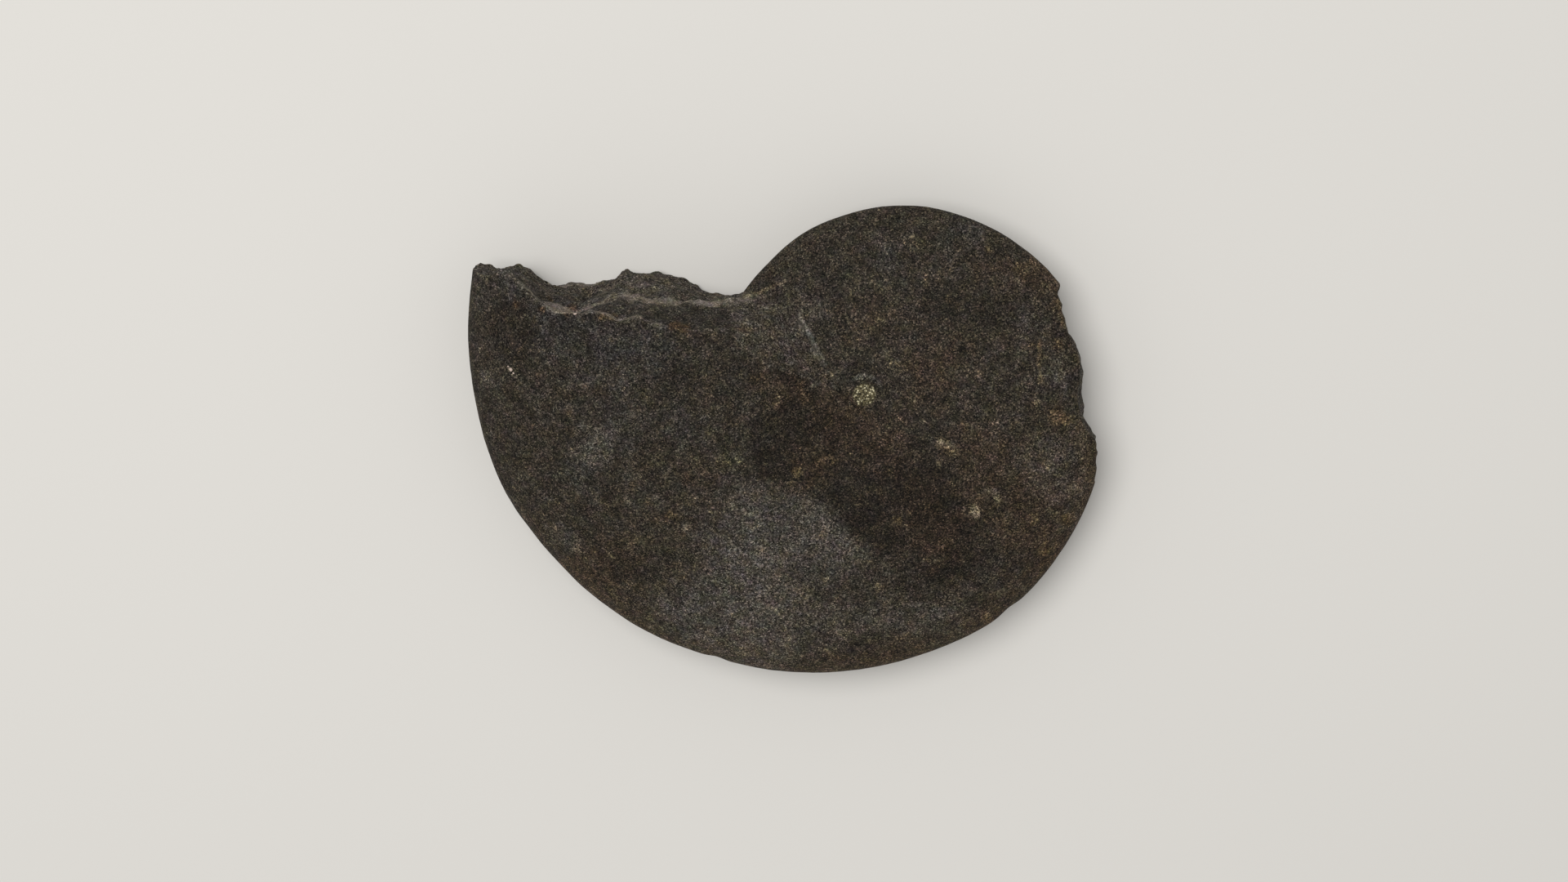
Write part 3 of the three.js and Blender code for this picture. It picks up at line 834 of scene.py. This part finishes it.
cloudiness = add(
    tree, "ShaderNodeMath", {0: frayed, 1: CLOUD_CONTRAST, 2: 1.0}, operation="MULTIPLY_ADD"
).outputs[0]
lightness = add(
    tree, "ShaderNodeMath", {0: lightness, 1: cloudiness}, operation="MULTIPLY"
).outputs[0]
shell = add(
    tree, "ShaderNodeMath", {0: amounts["seam"], 1: amounts["old_shell"]}, operation="MAXIMUM"
).outputs[0]
calm = add(tree, "ShaderNodeMath", {0: shell, 1: SHELL_CALM}, operation="MULTIPLY").outputs[0]
lightness = add(tree, "ShaderNodeMix", {0: calm, 2: lightness, 3: MEAN_LIGHTNESS}).outputs[0]
hue = add(
    tree, "ShaderNodeVectorMath", {0: drifts, 1: HUE_SWING, 2: HUE_START}, operation="MULTIPLY_ADD"
).outputs[0]
colour = add(tree, "ShaderNodeVectorMath", {0: colour, 1: hue}, operation="MULTIPLY").outputs[0]
colour = add(
    tree, "ShaderNodeVectorMath", {0: colour, "Scale": lightness}, operation="SCALE"
).outputs[0]

# The plug: cream crystals with dark gaps between them.
PLUG_CRYSTAL = 0.26
DARK_CRYSTAL = linear("#241e15")
LIGHT_CRYSTAL = linear("#7b7254")
CREAM_CRYSTAL = linear("#d6cca8")
CREAM_LUCK = (0.72, 0.88)  # of 0 to 1: a crystal whose luck is above the span is cream
GAP_SPAN = (0.4, 0.7)  # from a crystal's middle out, in crystal sizes
GAP_LIGHTNESS = 0.35
PLUG_FRAY = 1.2
PLUG_FADE = 0.15  # to either side of the plug's radius
crystals = add(tree, "ShaderNodeTexVoronoi", {"Vector": place_mm, "Scale": 1 / PLUG_CRYSTAL}).outputs
crystal_luck = add(tree, "ShaderNodeSeparateColor", {"Color": crystals["Color"]}).outputs
crystal_colour = add(
    tree,
    "ShaderNodeMixRGB",
    {"Fac": crystal_luck[0], "Color1": DARK_CRYSTAL, "Color2": LIGHT_CRYSTAL},
).outputs["Color"]
cream = add(
    tree,
    "ShaderNodeMapRange",
    {"Value": crystal_luck[1], "From Min": CREAM_LUCK[0], "From Max": CREAM_LUCK[1]},
).outputs[0]
crystal_colour = add(
    tree, "ShaderNodeMixRGB", {"Fac": cream, "Color1": crystal_colour, "Color2": CREAM_CRYSTAL}
).outputs["Color"]
gaps = add(
    tree,
    "ShaderNodeMapRange",
    {
        "Value": crystals["Distance"],
        "From Min": GAP_SPAN[0],
        "From Max": GAP_SPAN[1],
        "To Min": 1.0,
        "To Max": GAP_LIGHTNESS,
    },
).outputs[0]
crystal_colour = add(
    tree, "ShaderNodeVectorMath", {0: crystal_colour, "Scale": gaps}, operation="SCALE"
).outputs[0]
flat_place = add(
    tree, "ShaderNodeVectorMath", {0: place_mm, 1: (1, 1, 0)}, operation="MULTIPLY"
).outputs[0]
from_axis = add(tree, "ShaderNodeVectorMath", {0: flat_place}, operation="LENGTH").outputs["Value"]
frayed_axis = add(
    tree, "ShaderNodeMath", {0: frayed, 1: PLUG_FRAY, 2: from_axis}, operation="MULTIPLY_ADD"
).outputs[0]
on_plug = add(
    tree,
    "ShaderNodeMapRange",
    {"Value": frayed_axis, "From Min": PLUG_RADIUS + PLUG_FADE, "From Max": PLUG_RADIUS - PLUG_FADE},
).outputs[0]
height = add(tree, "ShaderNodeSeparateXYZ", {0: place_mm}).outputs[2]
upper_side = add(
    tree, "ShaderNodeMath", {0: height, 1: MID_PLANE}, operation="GREATER_THAN"
).outputs[0]
on_plug = add(tree, "ShaderNodeMath", {0: on_plug, 1: upper_side}, operation="MULTIPLY").outputs[0]
colour = add(
    tree, "ShaderNodeMixRGB", {"Fac": on_plug, "Color1": colour, "Color2": crystal_colour}
).outputs["Color"]

# A few loose calcite crystals sit in the surface, nearly white.
CALCITE = (  # place, with heights from the mid-plane, and reach
    ((-60.8, 4.2, 8.0), 0.3),
    ((-61.3, 4.7, 7.9), 0.17),
    ((-60.3, 3.6, 8.1), 0.17),
    ((-48.8, 14.5, 11.4), 0.27),
)
CALCITE_COLOUR = linear("#c9b5a8")
CALCITE_STRENGTH = 0.9
CALCITE_EDGE = (1.3, 0.7)  # in reaches, from outside in
FAR_AWAY = 9.0
nearest = FAR_AWAY
for (at_x, at_y, at_z), reach in CALCITE:
    middle = (at_x, at_y, at_z + MID_PLANE)
    apart = add(
        tree, "ShaderNodeVectorMath", {0: place_mm, 1: middle}, operation="DISTANCE"
    ).outputs["Value"]
    apart = add(tree, "ShaderNodeMath", {0: apart, 1: reach}, operation="DIVIDE").outputs[0]
    nearest = add(tree, "ShaderNodeMath", {0: apart, 1: nearest}, operation="MINIMUM").outputs[0]
on_calcite = add(
    tree,
    "ShaderNodeMapRange",
    {
        "Value": nearest,
        "From Min": CALCITE_EDGE[0],
        "From Max": CALCITE_EDGE[1],
        "To Max": CALCITE_STRENGTH,
    },
).outputs[0]
colour = add(
    tree, "ShaderNodeMixRGB", {"Fac": on_calcite, "Color1": colour, "Color2": CALCITE_COLOUR}
).outputs["Color"]

# Grains stand out from the surface by hundredths of a millimetre, and the break is hackly. Bare
# weathered stone hardly shines, and its dark clouds shine least.
GRIT = 0.03
GRIT_STRENGTH = 0.8
HACKLE = 0.7
STONE_ROUGHNESS = (0.9, 0.65)  # of the darkest clouds and the lightest
STONE_IOR = 1.5
STONE_SHEEN = 0.12
grit = add(
    tree, "ShaderNodeBump", {"Height": luck, "Distance": GRIT * MM, "Strength": GRIT_STRENGTH}
).outputs[0]
hackle = add(
    tree, "ShaderNodeMath", {0: clouds, 1: amounts["broken_in"]}, operation="MULTIPLY"
).outputs[0]
bumps = add(
    tree,
    "ShaderNodeBump",
    {"Height": hackle, "Distance": HACKLE * MM, "Strength": 1.0, "Normal": grit},
).outputs[0]
roughness = add(
    tree,
    "ShaderNodeMapRange",
    {"Value": clouds, "To Min": STONE_ROUGHNESS[0], "To Max": STONE_ROUGHNESS[1]},
).outputs[0]
surface = add(
    tree,
    "ShaderNodeBsdfPrincipled",
    {
        "Base Color": colour,
        "Roughness": roughness,
        "IOR": STONE_IOR,
        "Specular IOR Level": STONE_SHEEN,
        "Normal": bumps,
    },
)
add(tree, "ShaderNodeOutputMaterial", {"Surface": surface.outputs[0]})
fossil_mesh.materials.append(stone)

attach(fossil, "root")
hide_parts("ammonite")
